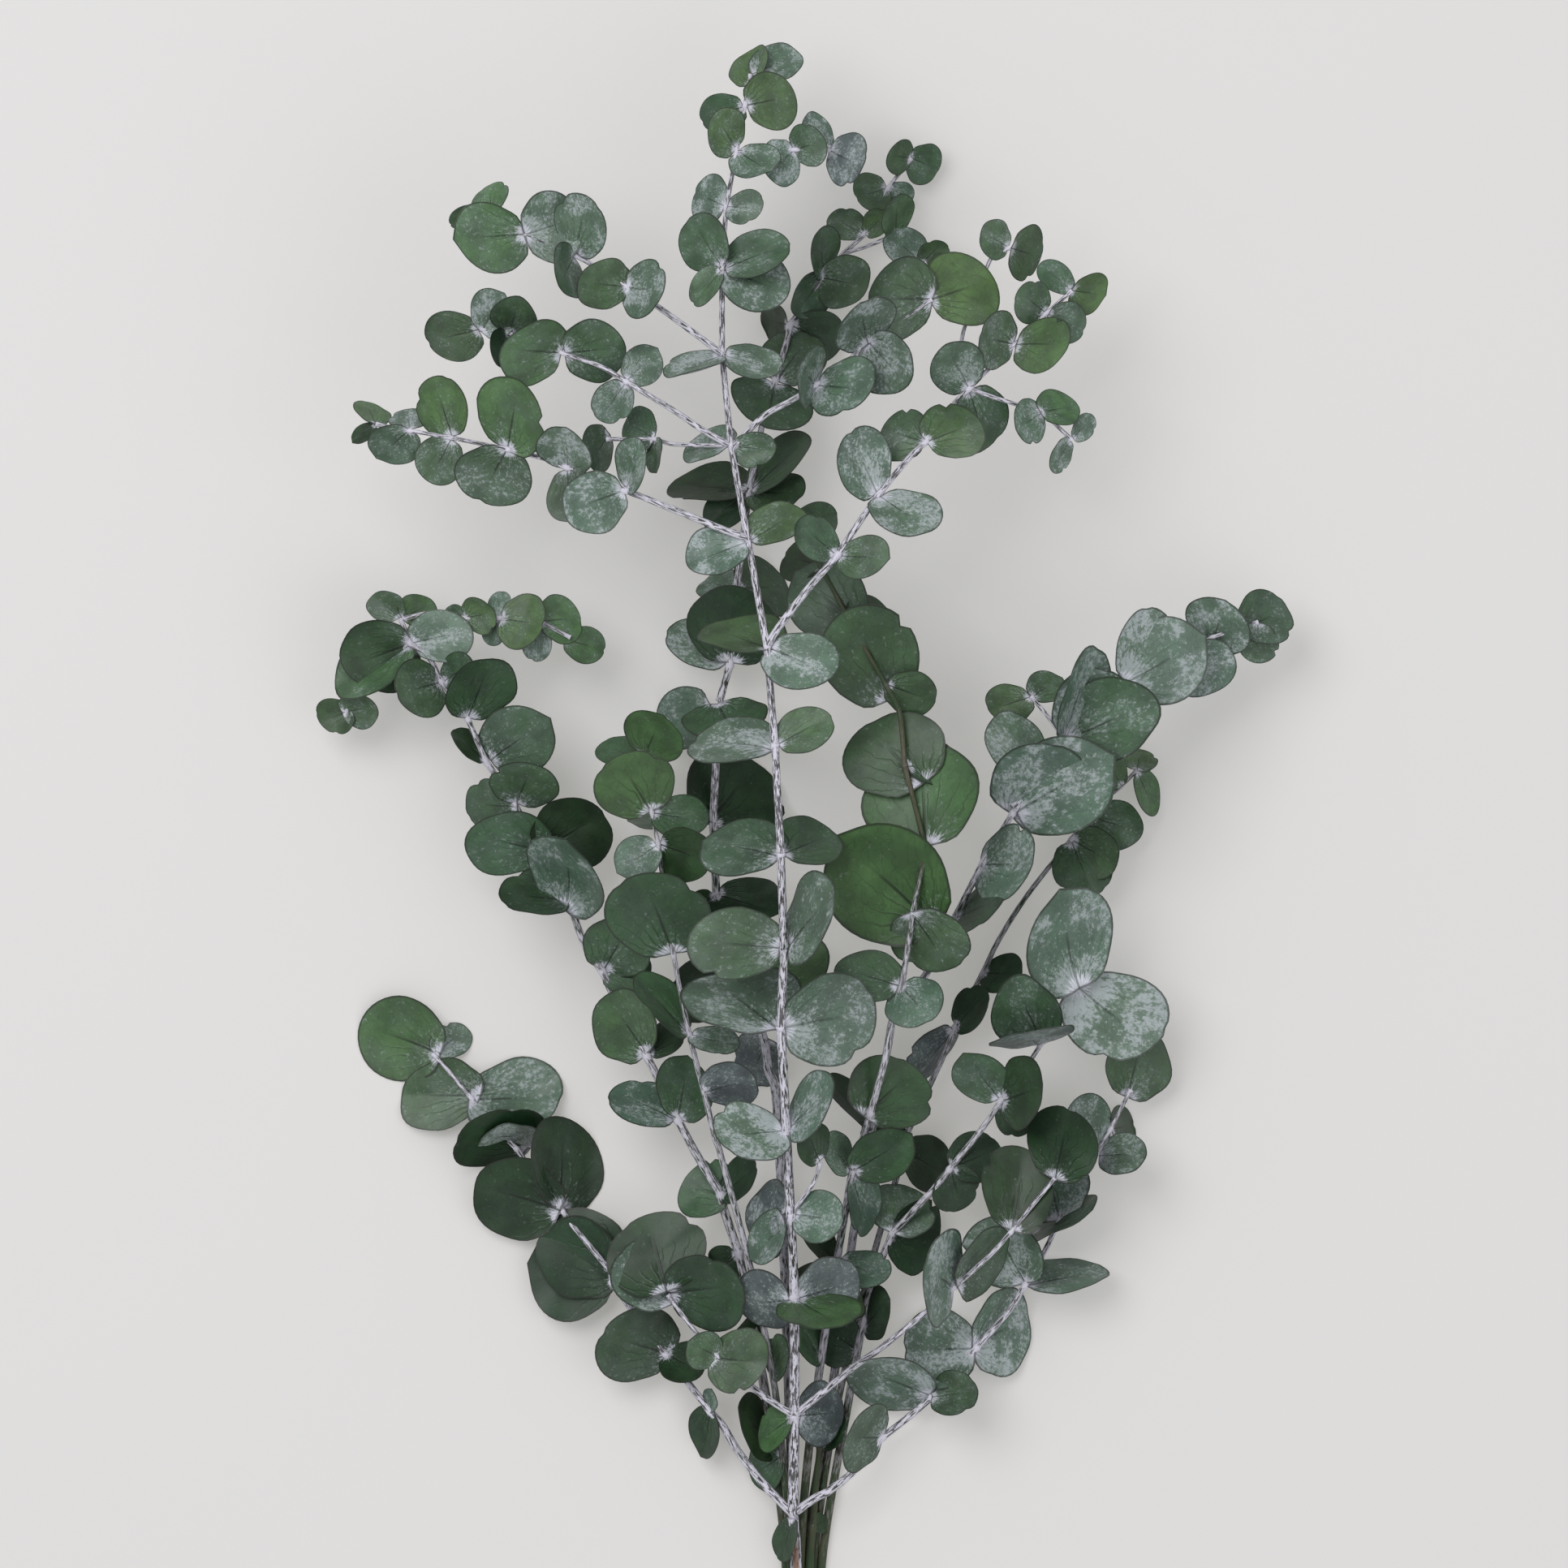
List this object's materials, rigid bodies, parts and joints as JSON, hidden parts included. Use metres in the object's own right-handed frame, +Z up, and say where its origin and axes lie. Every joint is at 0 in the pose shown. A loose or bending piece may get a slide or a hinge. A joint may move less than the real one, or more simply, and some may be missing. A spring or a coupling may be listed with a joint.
{
  "type": "eucalyptus bunch",
  "caption": "Bunch of cut, round-leaved eucalyptus stems with forked side shoots, lying on its lower leaves with the cut ends together.",
  "frame": {"origin": "on the surface that the bunch lies on, under the middle of its box", "axes": "+Y along the stems from the cut ends to the tips, +X to the right as seen from above, +Z up from the surface"},
  "size_m": [0.4502, 0.7536, 0.1325],
  "materials": {
    "green_leaves": "matte green leaf with a thin white bloom",
    "silvery_leaves": "matte grey-green leaf with a heavy white bloom",
    "bloomed_stems": "dark bark under a scratched white bloom"
  },
  "bodies": {
    "root": {"front_stem": "green_leaves", "back_stem": "green_leaves", "left_arching_stem": "green_leaves", "left_inner_stem": "green_leaves", "right_centre_stem": "green_leaves", "right_arching_stem": "silvery_leaves", "right_slim_stem": "green_leaves", "right_outer_stem": "silvery_leaves", "short_green_stem": "bloomed_stems"}
  },
  "joints": []
}
